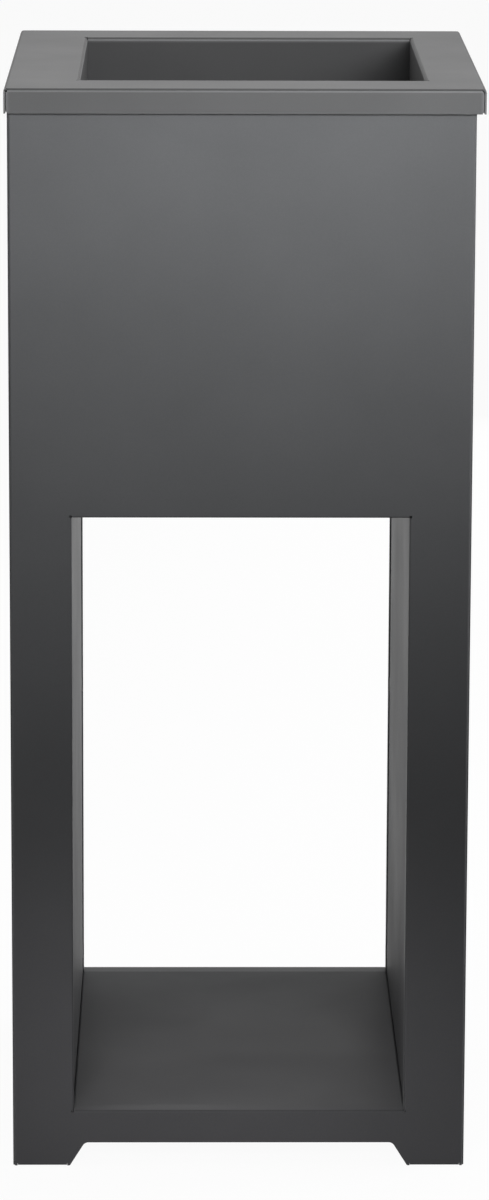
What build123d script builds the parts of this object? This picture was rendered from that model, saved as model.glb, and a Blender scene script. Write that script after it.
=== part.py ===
from build123d import *
import os
from math import sqrt

# Square steel brazier with a log store in the lower half of its casing.
# Millimetres. The origin is on the ground, in the middle of the casing. The front faces -Y, +Z is up.

os.makedirs("parts", exist_ok=True)

# Driving sizes
total_height = 940.0
sheet = 1.0  # thickness of the casing and the log store
plate = 1.5  # thickness of the fire tub and the rim
casing_width = 390.0
rim_width = 400.0
rim_skirt_depth = 21.0
rim_collar_depth = 45.0
opening_width = 290.0
rim_offset = 2.5  # the rim lies loose, a little to the right
opening_offset = 9.5  # its opening, with the tub below, is further to the right
store_width = 285.0
store_floor = 50.0
store_height = 525.0
window_lip = 15.0
lip_gap = 0.3  # between two lips where they meet in the window's corners
return_width = 25.0  # side and top folds of the face panels
overlap = 8.0  # how far a folded strip runs into the flat sheet that it joins
tub_depth = 220.5
tub_clearance = 2.0  # between the rim's collar and the tub

# Feet
foot_height = 21.0
foot_gap_at_ground = 292.0
foot_gap_at_top = 266.0
foot_gap_radius = 5.5
foot_tip_radius = 1.5
foot_pad = 12.0
pad_slit = 0.3  # cut at both ends of a pad so that it can fold
pad_inner_end = 148.5
pad_outer_end = 191.0

# Fasteners
screw_heights = (70.0, 330.0, 600.0, 880.0)
screw_from_face = 13.0
screw_length = 12.0
shank_radius = 2.5
shank_hole_radius = 2.75
head_seat_radius = 5.0
seat_border = 0.8  # flat ring round a pressed seat
socket_radius = 1.5
socket_depth = 2.4
screw_tip = 0.6
nut_across_flats = 8.0
nut_height = 4.0
rivet_radius = 2.0
rivet_depths = (-150.0, -50.0, 50.0, 150.0)
rivet_drop = 12.0  # from the shelf or the ceiling to its rivets
dome_height = 1.4
dome_shoulder = 1.0
tail_length = 5.5
tail_bevel = 1.0

# Places that follow from them
half = casing_width / 2
casing_height = total_height - 2 * plate
casing_fold = half - sheet / 2
inner_fold = half - 1.5 * sheet
straight_top = casing_height - 2 * sheet
store_half = store_width / 2
store_top = store_floor + store_height
lip_end = half - window_lip
return_end = half - return_width
turns = [90 * quarter for quarter in range(4)]


def folded(plane, points, thickness):
    # A folded sheet seen on edge: its centre line, rounded at each fold and thickened both ways.
    with BuildSketch(plane) as section:
        with BuildLine():
            FilletPolyline(*points, radius=1.5 * thickness)
        trace(line_width=thickness)
    return section.sketch


def foot_gap(plane):
    # The gap between two feet: sloping ends with rounded upper corners.
    low = foot_gap_at_ground / 2
    high = foot_gap_at_top / 2
    with BuildSketch(plane) as gap:
        Polygon((-low, 0), (low, 0), (high, foot_height), (-high, foot_height), align=None)
        fillet(gap.vertices().group_by(Axis.Y)[-1], foot_gap_radius)
    return gap.sketch


def foot_tips(part, along, across):
    # The sheet's sharp lower corners on both sides of the gap between the feet.
    low = foot_gap_at_ground / 2
    near = 0.1
    edges = part.edges().filter_by(along).filter_by_position(Axis.Z, -near, near)
    left_tips = edges.filter_by_position(across, -low - near, -low + near)
    right_tips = edges.filter_by_position(across, low - near, low + near)
    return left_tips + right_tips


# Screw seat pressed into the sheets: a cone under the head, nested from one sheet into the next
def screw_seat(layer):
    # Depths run inward from the casing's side face, along -X.
    slope_shift = layer * sheet * sqrt(2)
    end_shift = layer * sheet / sqrt(2)
    end_depth = head_seat_radius - shank_hole_radius + end_shift
    end_radius = shank_hole_radius + end_shift
    back_shift = sheet / sqrt(2)
    face = layer * sheet
    back = face + sheet
    mouth = head_seat_radius + slope_shift - face
    throat = head_seat_radius + slope_shift + sheet * sqrt(2) - back
    outer = throat + seat_border
    with BuildPart() as seat:
        with BuildSketch(Plane.XY):
            Polygon(
                (-face, mouth),
                (-end_depth, end_radius),
                (-end_depth - back_shift, end_radius + back_shift),
                (-back, throat),
                (-back, outer),
                (-face, outer),
                align=None,
            )
        revolve(axis=Axis.X)
    return seat.part, outer


panel_seat, panel_seat_radius = screw_seat(0)
return_seat, return_seat_radius = screw_seat(1)
nut_face = head_seat_radius - shank_hole_radius + sheet * sqrt(2)
screw_y = half - screw_from_face
right_screw_places = [(half, y, z) for y in (-screw_y, screw_y) for z in screw_heights]
front_screw_places = [(half, -screw_y, z) for z in screw_heights]

# Front panel: one sheet with the store's window, folded at its sides, top, window and feet
with BuildPart() as front_panel:
    plan = [
        (-inner_fold, -return_end),
        (-inner_fold, -casing_fold),
        (inner_fold, -casing_fold),
        (inner_fold, -return_end),
    ]
    extrude(folded(Plane.XY, plan, sheet), amount=straight_top)
    top_fold = [
        (-casing_fold, casing_height - return_width),
        (-casing_fold, casing_height - sheet / 2),
        (-return_end, casing_height - sheet / 2),
    ]
    extrude(folded(Plane.YZ, top_fold, sheet), amount=half - 5 * sheet, both=True)
    # Window with a lip folded in along each side and a small square relief at each corner
    with BuildSketch(Plane.XZ.offset(half)):
        with Locations((0, store_floor + store_height / 2)):
            Rectangle(store_width + 4 * sheet, store_height + 4 * sheet)
    extrude(amount=-window_lip, mode=Mode.SUBTRACT)
    for side in (-1, 1):
        side_lip = [
            (side * (store_half + sheet / 2), -lip_end),
            (side * (store_half + sheet / 2), -casing_fold),
            (side * (store_half + overlap), -casing_fold),
        ]
        lip_plane = Plane.XY.offset(store_floor + lip_gap)
        extrude(folded(lip_plane, side_lip, sheet), amount=store_height - 2 * lip_gap)
    for level, away in ((store_floor, -1), (store_top, 1)):
        level_lip = [
            (-lip_end, level + away * sheet / 2),
            (-casing_fold, level + away * sheet / 2),
            (-casing_fold, level + away * overlap),
        ]
        extrude(folded(Plane.YZ, level_lip, sheet), amount=store_half, both=True)
    # Feet: the gap between them, and a pad folded in under each
    extrude(foot_gap(Plane.XZ.offset(half)), amount=-3 * sheet, mode=Mode.SUBTRACT)
    for side in (-1, 1):
        with BuildSketch(Plane.YZ.offset(side * (pad_inner_end - pad_slit))):
            with Locations((-casing_fold, sheet)):
                Rectangle(2 * sheet, 2 * sheet)
        extrude(amount=side * (pad_outer_end - pad_inner_end + 2 * pad_slit), mode=Mode.SUBTRACT)
        pad_fold = [
            (-casing_fold, foot_height),
            (-casing_fold, sheet / 2),
            (-half + foot_pad, sheet / 2),
        ]
        pad_plane = Plane.YZ.offset(side * pad_inner_end)
        extrude(folded(pad_plane, pad_fold, sheet), amount=side * (pad_outer_end - pad_inner_end))
    fillet(foot_tips(front_panel.part, Axis.Y, Axis.X), foot_tip_radius)
    # Pressed screw seats in both side returns
    with BuildSketch(Plane.YZ):
        with Locations(*[(-screw_y, z) for z in screw_heights]):
            Circle(return_seat_radius)
    extrude(amount=half, both=True, mode=Mode.SUBTRACT)
    with Locations(*front_screw_places):
        add(return_seat)
    with Locations(*[Location((-x, y, z), (0, 0, 180)) for x, y, z in front_screw_places]):
        add(return_seat)
front_panel.part.label = "front_panel"

# Back panel: the same pressing turned round, so the store is open on both faces
with BuildPart() as back_panel:
    mirror(front_panel.part, about=Plane.XZ)
back_panel.part.label = "back_panel"

# Side panels: plain sheets that lie over the returns of the face panels
side_half = half - 2.5 * sheet
side_fold_half = return_end - 2 * sheet
side_fold_end = return_end - 5 * sheet
with BuildPart() as right_side_panel:
    with BuildSketch(Plane.YZ.offset(half)):
        with Locations((0, straight_top / 2)):
            Rectangle(2 * side_half, straight_top)
    extrude(amount=-sheet)
    top_fold = [
        (casing_fold, casing_height - return_width),
        (casing_fold, casing_height - sheet / 2),
        (side_fold_end, casing_height - sheet / 2),
    ]
    extrude(folded(Plane.XZ, top_fold, sheet), amount=side_fold_half, both=True)
    extrude(foot_gap(Plane.YZ.offset(half)), amount=-3 * sheet, mode=Mode.SUBTRACT)
    for side in (-1, 1):
        with BuildSketch(Plane.XZ.offset(side * (pad_inner_end - pad_slit))):
            with Locations((casing_fold, sheet)):
                Rectangle(2 * sheet, 2 * sheet)
        extrude(amount=side * (side_fold_half - pad_inner_end + 2 * pad_slit), mode=Mode.SUBTRACT)
        pad_fold = [
            (casing_fold, foot_height),
            (casing_fold, sheet / 2),
            (half - foot_pad, sheet / 2),
        ]
        pad_plane = Plane.XZ.offset(side * pad_inner_end)
        extrude(folded(pad_plane, pad_fold, sheet), amount=side * (side_fold_half - pad_inner_end))
    fillet(foot_tips(right_side_panel.part, Axis.X, Axis.Y), foot_tip_radius)
    with BuildSketch(Plane.YZ):
        with Locations(*[(y, z) for x, y, z in right_screw_places]):
            Circle(panel_seat_radius)
    extrude(amount=half, mode=Mode.SUBTRACT)
    with Locations(*right_screw_places):
        add(panel_seat)
right_side_panel.part.label = "right_side_panel"

with BuildPart() as left_side_panel:
    mirror(right_side_panel.part, about=Plane.YZ)
left_side_panel.part.label = "left_side_panel"

# Log store: side walls from the front panel to the back, with a flange folded out at each end
wall_overrun = 22.0  # past the shelf below and the ceiling above
wall_bottom = store_floor - wall_overrun
wall_top = store_top + wall_overrun
wall_middle = store_half + 1.5 * sheet
wall_flange = 20.0
tray_flange = 20.0
rivet_levels = (store_floor - rivet_drop, store_top + rivet_drop)
with BuildPart() as right_store_wall:
    wall_plan = [
        (wall_middle + wall_flange, -half + 1.5 * sheet),
        (wall_middle, -half + 1.5 * sheet),
        (wall_middle, half - 1.5 * sheet),
        (wall_middle + wall_flange, half - 1.5 * sheet),
    ]
    extrude(folded(Plane.XY.offset(wall_bottom), wall_plan, sheet), amount=wall_top - wall_bottom)
    with BuildSketch(Plane.YZ):
        with Locations(*[(y, z) for y in rivet_depths for z in rivet_levels]):
            Circle(rivet_radius)
    extrude(amount=half, mode=Mode.SUBTRACT)
right_store_wall.part.label = "right_store_wall"

with BuildPart() as left_store_wall:
    mirror(right_store_wall.part, about=Plane.YZ)
left_store_wall.part.label = "left_store_wall"


# Shelf and ceiling: one tray pressing, used with its flanges down and with them up
def store_tray(level, away):
    flange_x = store_half + sheet / 2
    profile = [
        (-flange_x, level + away * tray_flange),
        (-flange_x, level + away * sheet / 2),
        (flange_x, level + away * sheet / 2),
        (flange_x, level + away * tray_flange),
    ]
    with BuildPart() as tray:
        extrude(folded(Plane.XZ, profile, sheet), amount=lip_end, both=True)
        with BuildSketch(Plane.YZ):
            with Locations(*[(y, level + away * rivet_drop) for y in rivet_depths]):
                Circle(rivet_radius)
        extrude(amount=half, both=True, mode=Mode.SUBTRACT)
    return tray.part


log_shelf = store_tray(store_floor, -1)
log_shelf.label = "log_shelf"
store_ceiling = store_tray(store_top, 1)
store_ceiling.label = "store_ceiling"

# Countersunk screw with a hexagon socket, its axis along X and its tip towards -X
with BuildPart() as screw:
    head_drop = 0.1
    seat_gap = 0.1
    head_radius = head_seat_radius - head_drop - seat_gap
    with BuildSketch(Plane.XY):
        Polygon(
            (-head_drop, 0),
            (-head_drop, head_radius),
            (-head_drop - head_radius + shank_radius, shank_radius),
            (-screw_length + screw_tip, shank_radius),
            (-screw_length, shank_radius - screw_tip),
            (-screw_length, 0),
            align=None,
        )
    revolve(axis=Axis.X)
    with BuildSketch(Plane.YZ):
        RegularPolygon(radius=socket_radius, side_count=6, major_radius=False)
    extrude(amount=-socket_depth, mode=Mode.SUBTRACT)

with BuildPart() as right_panel_screws:
    with Locations(*right_screw_places):
        add(screw.part)
right_panel_screws.part.label = "right_panel_screws"

with BuildPart() as left_panel_screws:
    mirror(right_panel_screws.part, about=Plane.YZ)
left_panel_screws.part.label = "left_panel_screws"

# Weld nuts behind the returns
with BuildPart() as front_weld_nuts:
    with BuildSketch(Plane.YZ.offset(half - nut_face)):
        with Locations(*[(-screw_y, z) for z in screw_heights]):
            RegularPolygon(radius=nut_across_flats / 2, side_count=6, major_radius=False)
            Circle(shank_radius, mode=Mode.SUBTRACT)
    extrude(amount=-nut_height)
    mirror(about=Plane.YZ)
front_weld_nuts.part.label = "front_weld_nuts"

with BuildPart() as back_weld_nuts:
    mirror(front_weld_nuts.part, about=Plane.XZ)
back_weld_nuts.part.label = "back_weld_nuts"


# Blind rivets through the tray flanges and the store walls
def tray_rivets(level):
    inner_face = store_half
    grip = 2 * sheet
    tail_end = inner_face + grip + tail_length
    with BuildPart() as rivets:
        with BuildSketch(Plane.XY.offset(level)):
            with BuildLine():
                dome_edge = (inner_face, 2 * rivet_radius)
                dome_top = (inner_face - dome_height, 0)
                ThreePointArc(dome_top, (inner_face - dome_shoulder, 1.2 * rivet_radius), dome_edge)
                Polyline(
                    dome_edge,
                    (inner_face, rivet_radius),
                    (inner_face + grip, rivet_radius),
                    (inner_face + grip, 1.5 * rivet_radius),
                    (tail_end - tail_bevel, 1.5 * rivet_radius),
                    (tail_end, 0.8 * rivet_radius),
                    (tail_end, 0),
                    dome_top,
                )
            make_face()
        revolve(axis=Axis((0, 0, level), (1, 0, 0)))
        mirror(about=Plane.YZ)
    with BuildPart() as row:
        with Locations(*[(0, y, 0) for y in rivet_depths]):
            add(rivets.part)
    return row.part


shelf_rivets = tray_rivets(rivet_levels[0])
shelf_rivets.label = "shelf_rivets"
ceiling_rivets = tray_rivets(rivet_levels[1])
ceiling_rivets.label = "ceiling_rivets"

# Fire tub: a folded box that hangs by its flange from the casing's top folds
tub_top = casing_height + plate
tub_bottom = tub_top - tub_depth
tub_inner = opening_width / 2 + plate + tub_clearance
tub_outer = tub_inner + plate
tub_flange = 182.0
with BuildPart() as tub_side_flange:
    flange_fold = [
        (tub_outer - plate / 2, tub_top - overlap),
        (tub_outer - plate / 2, tub_top - plate / 2),
        (tub_flange, tub_top - plate / 2),
    ]
    extrude(folded(Plane.XZ, flange_fold, plate), amount=tub_outer - 2.5 * plate, both=True)

with BuildPart() as tub_walls:
    with BuildSketch(Plane.XY.offset(tub_bottom)):
        RectangleRounded(2 * tub_outer, 2 * tub_outer, 2 * plate)
        RectangleRounded(2 * tub_inner, 2 * tub_inner, plate, mode=Mode.SUBTRACT)
    extrude(amount=tub_depth - 2 * plate)
    for turn in turns:
        add(tub_side_flange.part.rotate(Axis.Z, turn))
tub_walls.part.position = (opening_offset, 0, 0)
tub_walls.part.label = "tub_walls"

# Tub floor: a pan with its lips turned down inside the walls, and holes for air and rain
floor_lip = 15.0
hole_pitch = 80.0
hole_rows = 3
hole_radius = 5.0
floor_top = tub_bottom + floor_lip
floor_fold = tub_inner - plate / 2
with BuildPart() as floor_strip:
    lips = [
        (-floor_fold, tub_bottom),
        (-floor_fold, floor_top - plate / 2),
        (floor_fold, floor_top - plate / 2),
        (floor_fold, tub_bottom),
    ]
    extrude(folded(Plane.XZ, lips, plate), amount=tub_inner - 4 * plate, both=True)

with BuildPart() as tub_floor:
    add(floor_strip.part)
    add(floor_strip.part.rotate(Axis.Z, 90))
    with BuildSketch(Plane.XY.offset(floor_top)):
        Rectangle(2 * tub_inner - 4 * plate, 2 * tub_inner - 4 * plate)
    extrude(amount=-plate)
    with BuildSketch(Plane.XY.offset(floor_top)):
        with GridLocations(hole_pitch, hole_pitch, hole_rows, hole_rows):
            Circle(hole_radius)
    extrude(amount=-plate, mode=Mode.SUBTRACT)
tub_floor.part.position = (opening_offset, 0, 0)
tub_floor.part.label = "tub_floor"

# Fire grate: square bars let into two bearers that stand on the tub's floor
bar_size = 8.0
bar_count = 11
bar_pitch = 25.0
bar_length = 280.0
bar_let_in = 3.0
bar_chamfer = 0.8
bearer_height = 30.0
bearer_thickness = 5.0
bearer_length = 276.0
bearer_spacing = 210.0
air_gap_length = 66.0
air_gap_height = 14.0
air_gap_radius = 6.0
air_gap_pitch = 90.0
air_gap_count = 3
bar_bottom = floor_top + bearer_height - bar_let_in
with BuildPart() as grate_bearers:
    with BuildSketch(Plane.YZ.offset((bearer_spacing - bearer_thickness) / 2)):
        with Locations((0, floor_top + bearer_height / 2)):
            Rectangle(bearer_length, bearer_height)
        with Locations((0, floor_top)):
            with GridLocations(air_gap_pitch, 0, air_gap_count, 1):
                RectangleRounded(air_gap_length, 2 * air_gap_height, air_gap_radius, mode=Mode.SUBTRACT)
        with Locations((0, bar_bottom + bar_size / 2)):
            with GridLocations(bar_pitch, 0, bar_count, 1):
                Rectangle(bar_size, bar_size, mode=Mode.SUBTRACT)
    extrude(amount=bearer_thickness)
    mirror(about=Plane.YZ)
grate_bearers.part.position = (opening_offset, 0, 0)
grate_bearers.part.label = "grate_bearers"

with BuildPart() as grate_bars:
    with BuildSketch(Plane.YZ):
        with Locations((0, bar_bottom + bar_size / 2)):
            with GridLocations(bar_pitch, 0, bar_count, 1):
                Rectangle(bar_size, bar_size)
    extrude(amount=bar_length / 2, both=True)
    bar_ends = grate_bars.edges().group_by(Axis.X)
    chamfer(bar_ends[0] + bar_ends[-1], bar_chamfer)
grate_bars.part.position = (opening_offset, 0, 0)
grate_bars.part.label = "grate_bars"

# Rim: a flat frame with a skirt folded down outside the casing and a collar folded into the tub
rim_half = rim_width / 2
rim_under = total_height - plate
rim_fold_start = total_height - 2 * plate
skirt_bottom = total_height - rim_skirt_depth
collar_bottom = total_height - rim_collar_depth
opening_half = opening_width / 2
opening_in_rim = opening_offset - rim_offset
corner_slot = 0.5
skirt_corner_radius = 3.0
strip_gap = 0.2  # two folded strips stop this short of meeting in a corner

with BuildPart() as skirt_side:
    skirt_fold = [
        (rim_half - plate / 2, skirt_bottom),
        (rim_half - plate / 2, total_height - plate / 2),
        (rim_half - overlap, total_height - plate / 2),
    ]
    extrude(folded(Plane.XZ, skirt_fold, plate), amount=rim_half - 2 * plate - strip_gap, both=True)

with BuildPart() as collar_side:
    collar_fold = [
        (opening_half + overlap, total_height - plate / 2),
        (opening_half + plate / 2, total_height - plate / 2),
        (opening_half + plate / 2, rim_fold_start - overlap),
    ]
    extrude(folded(Plane.XZ, collar_fold, plate), amount=opening_half - strip_gap, both=True)

with BuildPart() as rim_frame:
    with BuildSketch(Plane.XY.offset(total_height)):
        Rectangle(rim_width - 4 * plate, rim_width - 4 * plate)
        with Locations((opening_in_rim, 0)):
            Rectangle(opening_width + 4 * plate, opening_width + 4 * plate, mode=Mode.SUBTRACT)
    extrude(amount=-plate)
    for turn in turns:
        add(skirt_side.part.rotate(Axis.Z, turn))
        add(Pos(opening_in_rim, 0, 0) * collar_side.part.rotate(Axis.Z, turn))
    # Below the folds the front and back skirts run on to the side skirts, their lower corners rounded
    for face in (-1, 1):
        with BuildSketch(Plane.XZ.offset(face * rim_half)) as long_skirt:
            with Locations((0, (skirt_bottom + rim_fold_start) / 2)):
                Rectangle(rim_width - 2 * plate - 2 * corner_slot, rim_fold_start - skirt_bottom)
            fillet(long_skirt.vertices().group_by(Axis.Y)[0], skirt_corner_radius)
        extrude(amount=-face * plate)
        with BuildSketch(Plane.YZ.offset(face * rim_half)):
            with Locations((0, (skirt_bottom + rim_fold_start) / 2)):
                Rectangle(rim_width - 2 * strip_gap, rim_fold_start - skirt_bottom)
        extrude(amount=-face * plate)
    # The collar's corners are welded shut below the folds
    with BuildSketch(Plane.XY.offset(collar_bottom)):
        with Locations((opening_in_rim, 0)):
            Rectangle(opening_width + 2 * plate, opening_width + 2 * plate)
            Rectangle(opening_width, opening_width, mode=Mode.SUBTRACT)
    extrude(amount=rim_fold_start - collar_bottom)
rim_frame.part.position = (rim_offset, 0, 0)
rim_frame.part.label = "rim_frame"

pieces = [builder.part for builder in (
    front_panel, back_panel, left_side_panel, right_side_panel, left_store_wall, right_store_wall,
    left_panel_screws, right_panel_screws, front_weld_nuts, back_weld_nuts,
    tub_walls, tub_floor, grate_bearers, grate_bars, rim_frame,
)] + [log_shelf, store_ceiling, shelf_rivets, ceiling_rivets]

for piece in pieces:
    export_step(piece, f"parts/{piece.label}.step")
    size = piece.bounding_box().size
    print(f"{piece.label}: {len(piece.solids())} solids, {size.X:.1f} x {size.Y:.1f} x {size.Z:.1f} mm")
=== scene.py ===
import math

import bmesh
import bpy
from mathutils import Matrix, Vector, noise


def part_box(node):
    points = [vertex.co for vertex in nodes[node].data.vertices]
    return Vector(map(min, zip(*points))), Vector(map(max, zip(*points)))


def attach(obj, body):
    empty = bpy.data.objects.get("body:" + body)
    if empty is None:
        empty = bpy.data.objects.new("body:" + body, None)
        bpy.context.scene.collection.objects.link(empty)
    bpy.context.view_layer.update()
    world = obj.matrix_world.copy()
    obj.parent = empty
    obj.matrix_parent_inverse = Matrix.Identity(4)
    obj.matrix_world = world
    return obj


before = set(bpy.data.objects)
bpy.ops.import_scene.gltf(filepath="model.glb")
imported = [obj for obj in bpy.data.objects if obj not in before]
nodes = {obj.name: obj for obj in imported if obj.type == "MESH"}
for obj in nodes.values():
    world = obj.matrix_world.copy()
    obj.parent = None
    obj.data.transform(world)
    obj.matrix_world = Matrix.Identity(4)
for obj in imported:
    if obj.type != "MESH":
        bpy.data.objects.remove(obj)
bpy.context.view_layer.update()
mm = 0.001
print("frame loaded:", len(nodes), "nodes")


# Small helpers for the shader trees

grainRoughness = 0.55
grainRange = (0.3, 0.7)  # a noise value seldom leaves it
grainShift = (1.0, 0.7, 1.3)  # how far a seed of 1 moves the noise along each axis


def newMaterial(name):
    material = bpy.data.materials.new(name)
    material.use_nodes = True
    tree = material.node_tree
    tree.nodes.clear()
    output = tree.nodes.new("ShaderNodeOutputMaterial")
    return material, tree, output


def addNode(tree, kind, settings=None, inputs=None):
    made = tree.nodes.new(kind)
    for key, value in (settings or {}).items():
        setattr(made, key, value)
    for key, value in (inputs or {}).items():
        if isinstance(value, bpy.types.NodeSocket):
            tree.links.new(value, made.inputs[key])
        else:
            made.inputs[key].default_value = value
    return made


def numberMath(tree, operation, *values):
    inputs = dict(enumerate(values))
    return addNode(tree, "ShaderNodeMath", {"operation": operation}, inputs).outputs[0]


def vectorMath(tree, operation, *values):
    inputs = dict(enumerate(values))
    return addNode(tree, "ShaderNodeVectorMath", {"operation": operation}, inputs).outputs[0]


def times(tree, first, second):
    return numberMath(tree, "MULTIPLY", first, second)


def largest(tree, *values):
    widest = values[0]
    for value in values[1:]:
        widest = numberMath(tree, "MAXIMUM", widest, value)
    return widest


def place(tree):
    return addNode(tree, "ShaderNodeTexCoord").outputs["Object"]


def facing(tree):
    return addNode(tree, "ShaderNodeTexCoord").outputs["Normal"]


def axes(tree, vector):
    return addNode(tree, "ShaderNodeSeparateXYZ", None, {0: vector}).outputs


def between(tree, value, low, high, fromLow=grainRange[0], fromHigh=grainRange[1]):
    mapped = addNode(tree, "ShaderNodeMapRange", None,
                     {"Value": value, "From Min": fromLow, "From Max": fromHigh,
                      "To Min": low, "To Max": high})
    return mapped.outputs["Result"]


def fade(tree, mask, tone):
    # 1 where the mask is 0, the tone where it is 1
    return between(tree, mask, 1.0, tone, 0.0, 1.0)


def grainValue(tree, coords, layer, seed, scale=None):
    moved = vectorMath(tree, "ADD", coords, tuple(seed * step for step in grainShift))
    grain = addNode(tree, "ShaderNodeTexNoise", None,
                    {"Vector": moved, "Scale": scale or layer["scale"],
                     "Detail": layer["detail"], "Roughness": grainRoughness})
    return grain.outputs["Fac"]


def tinted(tree, color, tone):
    inputs = {0: color, "Scale": tone}
    return addNode(tree, "ShaderNodeVectorMath", {"operation": "SCALE"}, inputs).outputs[0]


# Folds, where the surface turns from one face to the next; their tone is painted shade, on the
# shelf a painted highlight

foldTurn = {"middle": 0.74, "end": 0.95}  # the normal's largest part at these places of a fold


def foldMask(tree):
    # 0 on the flat faces, 1 in the middle of a fold
    turned = axes(tree, vectorMath(tree, "ABSOLUTE", facing(tree)))
    widest = largest(tree, turned[0], turned[1], turned[2])
    return between(tree, widest, 1.0, 0.0, foldTurn["middle"], foldTurn["end"])


# The rim's collar, darker on the faces inside the opening: painted shade

collarPlace = {
    "middle": (0.0095, 0.0, 0.9), "halfWidth": 0.1462, "top": 0.9372,
    "sideBlend": 1.0 * mm, "topBlend": 2.0 * mm,
}


def collarShadeMask(tree):
    # 1 on the faces that line the opening and look at the fire, 0 on the rim's top and skirt; this
    # is where the shade is painted
    coords = place(tree)
    away = vectorMath(tree, "SUBTRACT", coords, collarPlace["middle"])
    away = axes(tree, vectorMath(tree, "ABSOLUTE", away))
    reach = largest(tree, away[0], away[1])
    side, top = collarPlace["halfWidth"], collarPlace["top"]
    within = between(tree, reach, 1.0, 0.0, side, side + collarPlace["sideBlend"])
    below = between(tree, axes(tree, coords)[2], 1.0, 0.0, top - collarPlace["topBlend"], top)
    return times(tree, within, below)


# The rim's folds: painted shade over the upper half, painted highlight over the lower half

rimFoldShading = {
    "light": 1.45, "lightFrom": 0.08, "lightTo": 0.42,  # by how far the face looks up
    "dark": 0.40, "darkFrom": 0.56, "darkTo": 0.95, "flat": 0.99,
}


def rimFoldShadeAndHighlight(tree):
    half = 0.5  # the ramp holds half of each tone, so that it stays below 1
    ramp = addNode(tree, "ShaderNodeValToRGB", None, {0: axes(tree, facing(tree))[2]})
    stops = (
        (0.0, 1.0),
        (rimFoldShading["lightFrom"], rimFoldShading["light"]), (rimFoldShading["lightTo"], rimFoldShading["light"]),
        (rimFoldShading["darkFrom"], rimFoldShading["dark"]), (rimFoldShading["darkTo"], rimFoldShading["dark"]),
        (rimFoldShading["flat"], 1.0),
    )
    elements = ramp.color_ramp.elements
    while len(elements) < len(stops):
        elements.new(half)
    for element, (position, tone) in zip(elements, stops):
        element.position = position
        element.color = (half * tone, half * tone, half * tone, 1)
    return times(tree, ramp.outputs["Color"], 1 / half)


# Uneven patches in the painted highlight on the rim's corners and the painted shade in the store

paintedLightGrain = {"scale": 40.0, "detail": 4.0, "seed": 17.0, "share": (0.85, 1.0)}


# The rim's upright corners, lighter in uneven patches: a painted highlight

cornerHighlight = {
    "middle": (0.0025, 0.0, 0.0), "halfWidth": 0.200, "top": 0.9385,
    "reach": 5.0 * mm, "full": 1.5 * mm, "blend": 1.0 * mm, "tone": 1.55,
}


def cornerHighlightMask(tree):
    # 1 along the skirt's upright corners, 0 elsewhere
    coords = place(tree)
    away = vectorMath(tree, "SUBTRACT", coords, cornerHighlight["middle"])
    away = axes(tree, vectorMath(tree, "ABSOLUTE", away))
    nearer = numberMath(tree, "MINIMUM", away[0], away[1])
    side, top = cornerHighlight["halfWidth"], cornerHighlight["top"]
    near = between(tree, nearer, 0.0, 1.0, side - cornerHighlight["reach"], side - cornerHighlight["full"])
    below = between(tree, axes(tree, coords)[2], 1.0, 0.0, top - cornerHighlight["blend"], top)
    patchiness = grainValue(tree, coords, paintedLightGrain, paintedLightGrain["seed"])
    return times(tree, times(tree, near, below), between(tree, patchiness, *paintedLightGrain["share"]))


def storeShadeMask(tree, storeShade):
    # 0 near the store's front and top, rising to 1 towards the shelf's back and the walls' foot:
    # painted shade, where the roughness is also raised
    coords = place(tree)
    along = axes(tree, coords)[storeShade["axis"]]
    reach = between(tree, along, 0.0, 1.0, storeShade["shadeStart"], storeShade["shadeFull"])
    patchiness = grainValue(tree, coords, paintedLightGrain, paintedLightGrain["seed"])
    return times(tree, reach, between(tree, patchiness, *paintedLightGrain["share"]))


# Powder coat: anthracite, satin, with a fine peel and slow changes of tone over each sheet;
# painted shade and painted highlights where marked below

coatLooks = {
    "casing": {
        "color": (0.100, 0.101, 0.104), "roughness": (0.46, 0.56), "specular": 0.17,
        "peel": 0.16, "seed": 1.0, "foldPaintedLight": 0.75,
    },
    "shelf": {
        "color": (0.100, 0.101, 0.104), "roughness": (0.46, 0.56), "specular": 0.17,
        "peel": 0.16, "seed": 4.0, "foldPaintedLight": 1.20,
        "storeShade": {"axis": 1, "shadeStart": -0.04, "shadeFull": 0.19, "dull": 0.14, "darken": 0.75},
    },
    "wall": {
        "color": (0.100, 0.101, 0.104), "roughness": (0.42, 0.50), "specular": 0.17,
        "peel": 0.16, "seed": 2.0, "foldPaintedLight": 0.75,
        "storeShade": {"axis": 2, "shadeStart": 0.54, "shadeFull": 0.12, "dull": 0.14, "darken": 0.70},
    },
    "rim": {
        "color": (0.086, 0.086, 0.087), "roughness": (0.46, 0.56), "specular": 0.34,
        "peel": 0.18, "seed": 7.0, "foldPaintedLight": 1.0, "collarShadeTone": 0.56,
    },
    "tub": {
        "color": (0.042, 0.042, 0.043), "roughness": (0.56, 0.68), "specular": 0.25,
        "peel": 0.26, "seed": 11.0, "foldPaintedLight": 0.80,
    },
}

coatGrain = {
    "peel": {"scale": 900.0, "detail": 2.0, "seed": 0, "tone": (0.97, 1.03)},  # about 1 mm
    "flow": {"scale": 150.0, "detail": 2.0, "seed": 2},  # about 7 mm
    "cloud": {"scale": 7.0, "detail": 3.0, "seed": 5, "tone": (0.94, 1.06)},  # about 150 mm
    "speck": {"scale": 2600.0, "detail": 1.0, "seed": 9, "tone": (0.93, 1.07)},  # pigment
}

coatRelief = {
    "edgeRadius": 0.35 * mm, "edgeSamples": 4,
    "flowHeight": 0.12 * mm, "flowShare": 0.5, "peelHeight": 0.10 * mm,
    "peelRoughness": (-0.03, 0.03), "ior": 1.45,
}


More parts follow.
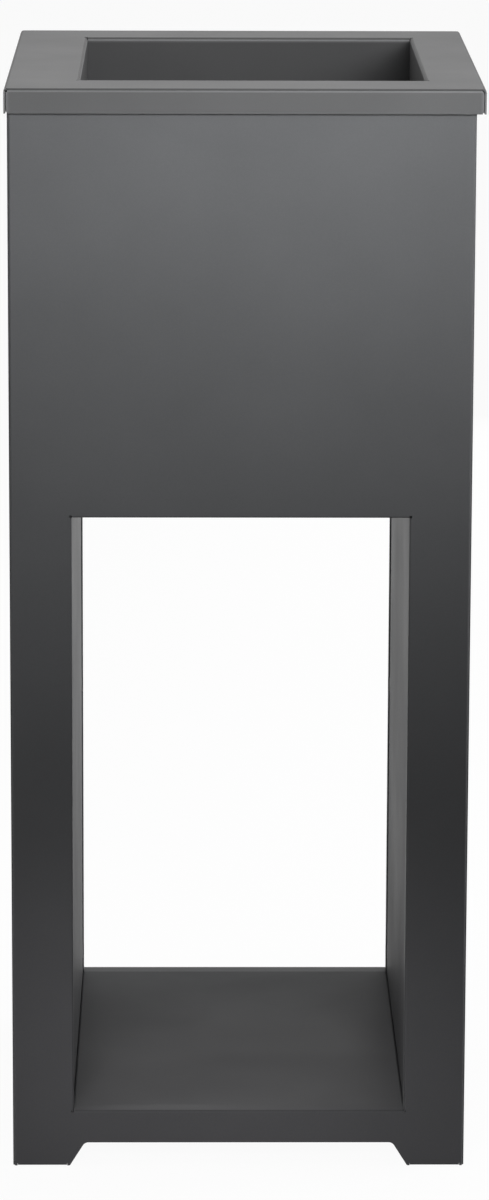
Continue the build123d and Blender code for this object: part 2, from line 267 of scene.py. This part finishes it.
def coatNormal(tree, look, flow, peel):
    rounding = addNode(tree, "ShaderNodeBevel", {"samples": coatRelief["edgeSamples"]},
                       {"Radius": coatRelief["edgeRadius"]})
    waves = addNode(tree, "ShaderNodeBump", None,
                    {"Height": flow, "Strength": look["peel"] * coatRelief["flowShare"],
                     "Distance": coatRelief["flowHeight"], "Normal": rounding.outputs[0]})
    grain = addNode(tree, "ShaderNodeBump", None,
                    {"Height": peel, "Strength": look["peel"],
                     "Distance": coatRelief["peelHeight"], "Normal": waves.outputs[0]})
    return grain.outputs[0]


def powderCoat(part):
    look = coatLooks[part]
    material, tree, output = newMaterial(part + "Coat")
    coords = place(tree)
    grain = {name: grainValue(tree, coords, layer, look["seed"] + layer["seed"])
             for name, layer in coatGrain.items()}

    tone = between(tree, grain["cloud"], *coatGrain["cloud"]["tone"])
    for name in ("speck", "peel"):
        tone = times(tree, tone, between(tree, grain[name], *coatGrain[name]["tone"]))
    # painted shade along the folds, a painted highlight along the shelf's folds
    tone = times(tree, tone, fade(tree, foldMask(tree), look["foldPaintedLight"]))
    if "collarShadeTone" in look:
        # painted shade on the collar's faces inside the opening
        tone = times(tree, tone, fade(tree, collarShadeMask(tree), look["collarShadeTone"]))
        # painted shade and painted highlight on the rim's folds
        tone = times(tree, tone, rimFoldShadeAndHighlight(tree))
        # painted highlight along the rim's upright corners
        tone = times(tree, tone, fade(tree, cornerHighlightMask(tree), cornerHighlight["tone"]))

    roughness = between(tree, grain["cloud"], *look["roughness"])
    if "storeShade" in look:
        # painted shade towards the shelf's back and the walls' foot, with a duller roughness there
        storeShaded = storeShadeMask(tree, look["storeShade"])
        tone = times(tree, tone, fade(tree, storeShaded, look["storeShade"]["darken"]))
        roughness = numberMath(tree, "MULTIPLY_ADD", storeShaded, look["storeShade"]["dull"], roughness)
    uneven = between(tree, grain["peel"], *coatRelief["peelRoughness"])
    roughness = numberMath(tree, "ADD", roughness, uneven)

    bsdf = addNode(tree, "ShaderNodeBsdfPrincipled", None,
                   {"Base Color": tinted(tree, look["color"], tone), "Roughness": roughness,
                    "Normal": coatNormal(tree, look, grain["flow"], grain["peel"]),
                    "IOR": coatRelief["ior"], "Specular IOR Level": look["specular"],
                    "Metallic": 0.0})
    tree.links.new(bsdf.outputs[0], output.inputs["Surface"])
    return material


# Bare and plated steel of the grate and the fasteners

steelLooks = {
    "grate": {"color": (0.045, 0.044, 0.043), "metallic": 0.35, "roughness": (0.50, 0.72),
              "grain": 420.0, "bump": 0.5},
    "zinc": {"color": (0.52, 0.53, 0.55), "metallic": 1.0, "roughness": (0.28, 0.44),
             "grain": 900.0, "bump": 0.15},
    "screw": {"color": (0.050, 0.050, 0.052), "metallic": 0.6, "roughness": (0.34, 0.48),
              "grain": 1500.0, "bump": 0.2},
    "weld": {"color": (0.080, 0.080, 0.081), "metallic": 0.0, "roughness": (0.50, 0.66),
             "grain": 700.0, "bump": 0.3},
}

steelGrain = {
    "pits": {"detail": 4.0, "seed": 3.0, "tone": (0.88, 1.12), "height": 0.15 * mm},
    "patch": {"coarser": 0.08, "detail": 3.0, "seed": 8.0, "tone": (0.80, 1.18)},
    "edgeRadius": 0.4 * mm, "edgeSamples": 4,
}


def steel(part):
    look = steelLooks[part]
    pitLayer, patchLayer = steelGrain["pits"], steelGrain["patch"]
    material, tree, output = newMaterial(part + "Steel")
    coords = place(tree)
    pits = grainValue(tree, coords, pitLayer, pitLayer["seed"], look["grain"])
    patch = grainValue(tree, coords, patchLayer, patchLayer["seed"],
                       look["grain"] * patchLayer["coarser"])
    tone = times(tree, between(tree, patch, *patchLayer["tone"]),
                 between(tree, pits, *pitLayer["tone"]))
    rounding = addNode(tree, "ShaderNodeBevel", {"samples": steelGrain["edgeSamples"]},
                       {"Radius": steelGrain["edgeRadius"]})
    relief = addNode(tree, "ShaderNodeBump", None,
                     {"Height": pits, "Strength": look["bump"],
                      "Distance": pitLayer["height"], "Normal": rounding.outputs[0]})
    bsdf = addNode(tree, "ShaderNodeBsdfPrincipled", None,
                   {"Base Color": tinted(tree, look["color"], tone),
                    "Roughness": between(tree, patch, *look["roughness"]),
                    "Normal": relief.outputs[0], "Metallic": look["metallic"]})
    tree.links.new(bsdf.outputs[0], output.inputs["Surface"])
    return material


# Each node of the frame gets its finish

finishes = {part: powderCoat(part) for part in coatLooks}
finishes.update({part: steel(part) for part in steelLooks})

finishOf = {
    "front_panel": "casing", "back_panel": "casing",
    "left_side_panel": "casing", "right_side_panel": "casing",
    "left_store_wall": "wall", "right_store_wall": "wall",
    "log_shelf": "shelf", "store_ceiling": "casing",
    "left_panel_screws": "screw", "right_panel_screws": "screw",
    "front_weld_nuts": "zinc", "back_weld_nuts": "zinc",
    "shelf_rivets": "zinc", "ceiling_rivets": "zinc",
    "tub_walls": "tub", "tub_floor": "tub",
    "grate_bearers": "grate", "grate_bars": "grate",
    "rim_frame": "rim",
}

for nodeName, finish in finishOf.items():
    for slot in nodes[nodeName].material_slots:
        slot.material = finishes[finish]
print("finishes on", len(finishOf), "nodes")


# Weld bead where the tub's floor meets its walls

floorBead = {
    "legs": 2.6 * mm, "step": 2.2 * mm, "corner": 2.0 * mm,
    "ripple": 0.16, "rippleTurn": 1.9,  # depth, and radians from one step to the next
    "uneven": 0.10, "unevenScale": 90,
    "waist": 0.72, "crown": 0.20,  # shares of the legs that the bead's face reaches
    "facets": 7, "cornerSteps": 3,
}
quarterTurn = math.radians(90)


def squareRoute(low, high, height, look):
    # Points at equal steps round a square with rounded corners, and the way to its middle at each
    centre = (low + high) / 2
    half = (high - low) / 2
    corner = look["corner"]
    reach = half.x - corner
    points = []
    for quarter in range(4):
        turn = Matrix.Rotation(quarter * quarterTurn, 3, "Z")
        count = int(2 * reach / look["step"])
        for index in range(count):
            along = -reach + 2 * reach * index / count
            points.append((turn @ Vector((half.x, along, 0)), turn @ Vector((-1, 0, 0))))
        for index in range(look["cornerSteps"]):
            angle = quarterTurn * index / look["cornerSteps"]
            arm = Vector((math.cos(angle), math.sin(angle), 0))
            points.append((turn @ (Vector((reach, reach, 0)) + arm * corner), turn @ -arm))
    return [(Vector((centre.x, centre.y, height)) + at, inward) for at, inward in points]


def beadRing(shape, at, inward, look, wave):
    # One slice of the bead: its face from the floor up to the wall, then the corner behind it
    last = look["facets"] - 1
    ring = []
    for facet in range(look["facets"]):
        angle = quarterTurn * facet / last
        reach = look["legs"] * wave
        if 0 < facet < last:
            reach = look["legs"] * (look["waist"] + look["crown"] * math.sin(2 * angle)) * wave
        offset = inward * (math.cos(angle) * reach) + Vector((0, 0, math.sin(angle) * reach))
        ring.append(shape.verts.new(at + offset))
    ring.append(shape.verts.new(at))
    return ring


def weldBead(name, route, look, material, body):
    mesh = bpy.data.meshes.new(name)
    shape = bmesh.new()
    rings = []
    for index, (at, inward) in enumerate(route):
        wave = 1 + look["ripple"] * math.sin(index * look["rippleTurn"])
        wave += look["uneven"] * noise.noise(at * look["unevenScale"])
        rings.append(beadRing(shape, at, inward, look, wave))
    for index, ring in enumerate(rings):
        following = rings[(index + 1) % len(rings)]
        for side in range(len(ring)):
            beside = (side + 1) % len(ring)
            shape.faces.new((ring[side], following[side], following[beside], ring[beside]))
    bmesh.ops.recalc_face_normals(shape, faces=shape.faces)
    shape.to_mesh(mesh)
    shape.free()
    mesh.polygons.foreach_set("use_smooth", [True] * len(mesh.polygons))
    bead = bpy.data.objects.new(name, mesh)
    bpy.context.scene.collection.objects.link(bead)
    mesh.materials.append(material)
    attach(bead, body)
    return bead


floorLow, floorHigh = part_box("tub_floor")
floorRoute = squareRoute(floorLow, floorHigh, floorHigh.z, floorBead)
weldBead("floor_weld_bead", floorRoute, floorBead, finishes["weld"], "fire_tub")
print("weld bead laid in", len(floorRoute), "steps")


# Floor and backdrop: white wherever the camera or a reflection looks, with a trace of the shadow

studio = {
    "floorSize": 30, "shadowShare": 0.05, "bounce": (0.30, 0.30, 0.31),
    "worldLight": 0.08, "white": (1, 1, 1, 1),
}


def seenDirectly(tree):
    path = addNode(tree, "ShaderNodeLightPath").outputs
    return largest(tree, path["Is Camera Ray"], path["Is Glossy Ray"], path["Is Transmission Ray"])


def floorMaterial():
    material, tree, output = newMaterial("studioFloor")
    matt = addNode(tree, "ShaderNodeBsdfDiffuse", None, {"Color": (*studio["bounce"], 1)})
    white = addNode(tree, "ShaderNodeEmission", None, {"Color": studio["white"], "Strength": 1.0})
    pale = addNode(tree, "ShaderNodeBsdfDiffuse", None, {"Color": studio["white"]})
    seen = addNode(tree, "ShaderNodeMixShader", None,
                   {0: studio["shadowShare"], 1: white.outputs[0], 2: pale.outputs[0]})
    mix = addNode(tree, "ShaderNodeMixShader", None,
                  {0: seenDirectly(tree), 1: matt.outputs[0], 2: seen.outputs[0]})
    tree.links.new(mix.outputs[0], output.inputs["Surface"])
    return material


def studioWorld():
    world = bpy.data.worlds.new("studio")
    world.use_nodes = True
    tree = world.node_tree
    tree.nodes.clear()
    ambient = addNode(tree, "ShaderNodeBackground", None,
                      {"Color": studio["white"], "Strength": studio["worldLight"]})
    backdrop = addNode(tree, "ShaderNodeBackground", None,
                       {"Color": studio["white"], "Strength": 1.0})
    mix = addNode(tree, "ShaderNodeMixShader", None,
                  {0: seenDirectly(tree), 1: ambient.outputs[0], 2: backdrop.outputs[0]})
    addNode(tree, "ShaderNodeOutputWorld", None, {"Surface": mix.outputs[0]})
    return world


bpy.ops.mesh.primitive_plane_add(size=studio["floorSize"])
floor = bpy.context.object
floor.name = "studio_floor"
floor.data.materials.append(floorMaterial())
bpy.context.scene.world = studioWorld()


# Softboxes: one over the rim, two in front, and a weak one from each side and from behind

softboxes = {
    "overhead": {
        "at": (0.10, 0.25, 2.30), "aim": (0.0, 0.0, 0.94), "size": (1.3, 1.0),
        "watts": 4.0, "spread": 110, "color": (1.0, 1.0, 1.0), "shine": True,
    },
    "frontHigh": {
        "at": (0.45, -1.25, 1.30), "aim": (0.06, -0.2, 1.10), "size": (0.8, 0.4),
        "watts": 4.2, "spread": 62, "color": (0.98, 0.99, 1.0), "shine": False,
    },
    "frontLow": {
        "at": (-0.14, -0.80, 0.44), "aim": (-0.01, -0.17, 0.03), "size": (0.36, 0.10),
        "watts": 0.175, "spread": 46, "color": (1.0, 0.97, 1.0), "shine": False,
    },
    "leftSide": {
        "at": (-2.6, -0.6, 1.2), "aim": (0, 0, 0.6), "size": (1.6, 1.8),
        "watts": 10.0, "spread": 120, "color": (1.0, 1.0, 1.0), "shine": False,
    },
    "rightSide": {
        "at": (2.6, 0.3, 1.2), "aim": (0, 0, 0.6), "size": (1.6, 1.8),
        "watts": 28.0, "spread": 120, "color": (0.98, 0.99, 1.0), "shine": False,
    },
    "behind": {
        "at": (1.3, 2.6, 0.52), "aim": (0, 0, 0.5), "size": (2.2, 0.95),
        "watts": 25.0, "spread": 120, "color": (1.0, 1.0, 1.0), "shine": False,
    },
}

for name, box in softboxes.items():
    data = bpy.data.lights.new(name, "AREA")
    data.shape = "RECTANGLE"
    data.size, data.size_y = box["size"]
    data.energy = box["watts"]
    data.spread = math.radians(box["spread"])
    data.color = box["color"]
    lamp = bpy.data.objects.new(name, data)
    lamp.location = box["at"]
    way = Vector(box["aim"]) - Vector(box["at"])
    lamp.rotation_euler = way.to_track_quat("-Z", "Y").to_euler()
    lamp.visible_camera = False
    lamp.visible_glossy = box["shine"]  # the rim lies nearly edge-on, where a lamp would glare
    bpy.context.scene.collection.objects.link(lamp)
print("studio lit by", len(softboxes), "softboxes")


# Camera at the photograph's height and distance, turned down a little with some lens shift

cameraLook = {
    "at": (-0.041, -4.00, 1.450),
    "pitch": -10.994, "yaw": 0.659, "roll": 0.203,  # degrees
    "sensor": 36, "lens": 138.93, "shiftY": -0.20,
    "nearest": 0.05, "farthest": 60,
}


def makeCamera(look):
    pitch, yaw, roll = (math.radians(look[key]) for key in ("pitch", "yaw", "roll"))
    level = math.cos(pitch)
    ahead = Vector((math.sin(yaw) * level, math.cos(yaw) * level, math.sin(pitch)))
    right = ahead.cross(Vector((0, 0, 1))).normalized()
    up = right.cross(ahead)
    leaningRight = right * math.cos(roll) + up * math.sin(roll)
    leaningUp = up * math.cos(roll) - right * math.sin(roll)
    turned = Matrix((leaningRight, leaningUp, -ahead)).transposed().to_4x4()
    data = bpy.data.cameras.new("photoCamera")
    data.sensor_width = look["sensor"]
    data.lens = look["lens"]
    data.shift_y = look["shiftY"]
    data.clip_start = look["nearest"]
    data.clip_end = look["farthest"]
    camera = bpy.data.objects.new("photoCamera", data)
    camera.matrix_world = Matrix.Translation(look["at"]) @ turned
    bpy.context.scene.collection.objects.link(camera)
    bpy.context.scene.camera = camera


makeCamera(cameraLook)
bpy.context.scene.view_settings.view_transform = "Standard"
print("camera placed")
